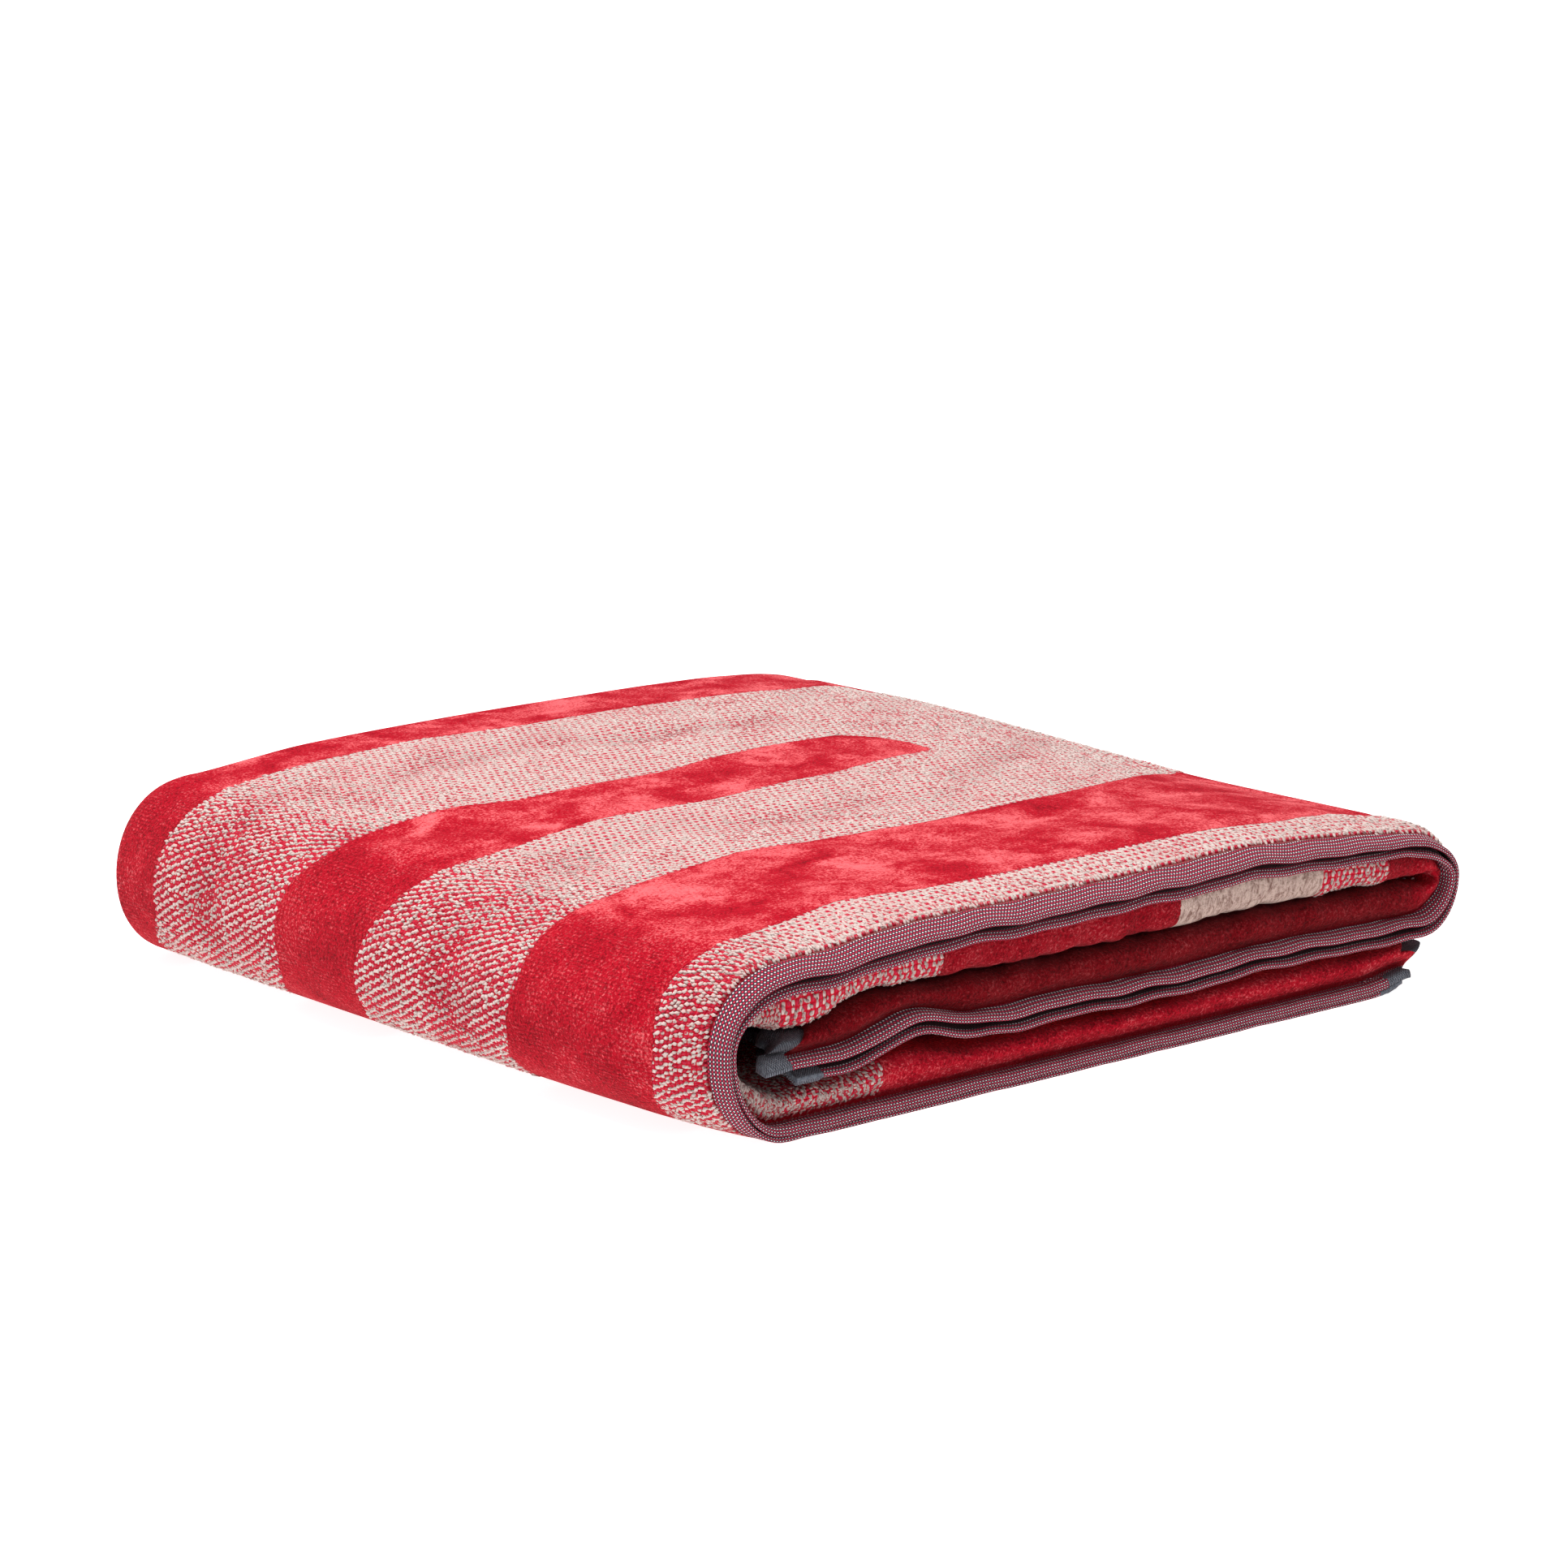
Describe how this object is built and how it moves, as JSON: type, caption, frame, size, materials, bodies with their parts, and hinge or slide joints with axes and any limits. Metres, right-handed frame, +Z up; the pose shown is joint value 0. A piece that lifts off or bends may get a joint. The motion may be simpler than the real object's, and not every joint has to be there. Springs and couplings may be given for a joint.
{
  "type": "bath towel",
  "caption": "Folded bath towel, doubled and then folded in thirds, with wide red velour stripes between looped red and cream stripes, speckled side hems and grey end hems.",
  "frame": {"origin": "middle of the footprint, on the surface the folded towel rests on", "axes": "+Z up; -Y is the open front with the side hems; +Y is the closed fold; -X is the wide bend and +X the tighter bend above the ends"},
  "size_m": [0.5312, 0.497, 0.107],
  "materials": {
    "terry": "cotton terry, cut pile and loops"
  },
  "bodies": {
    "root": {"towel": "terry"}
  },
  "joints": []
}
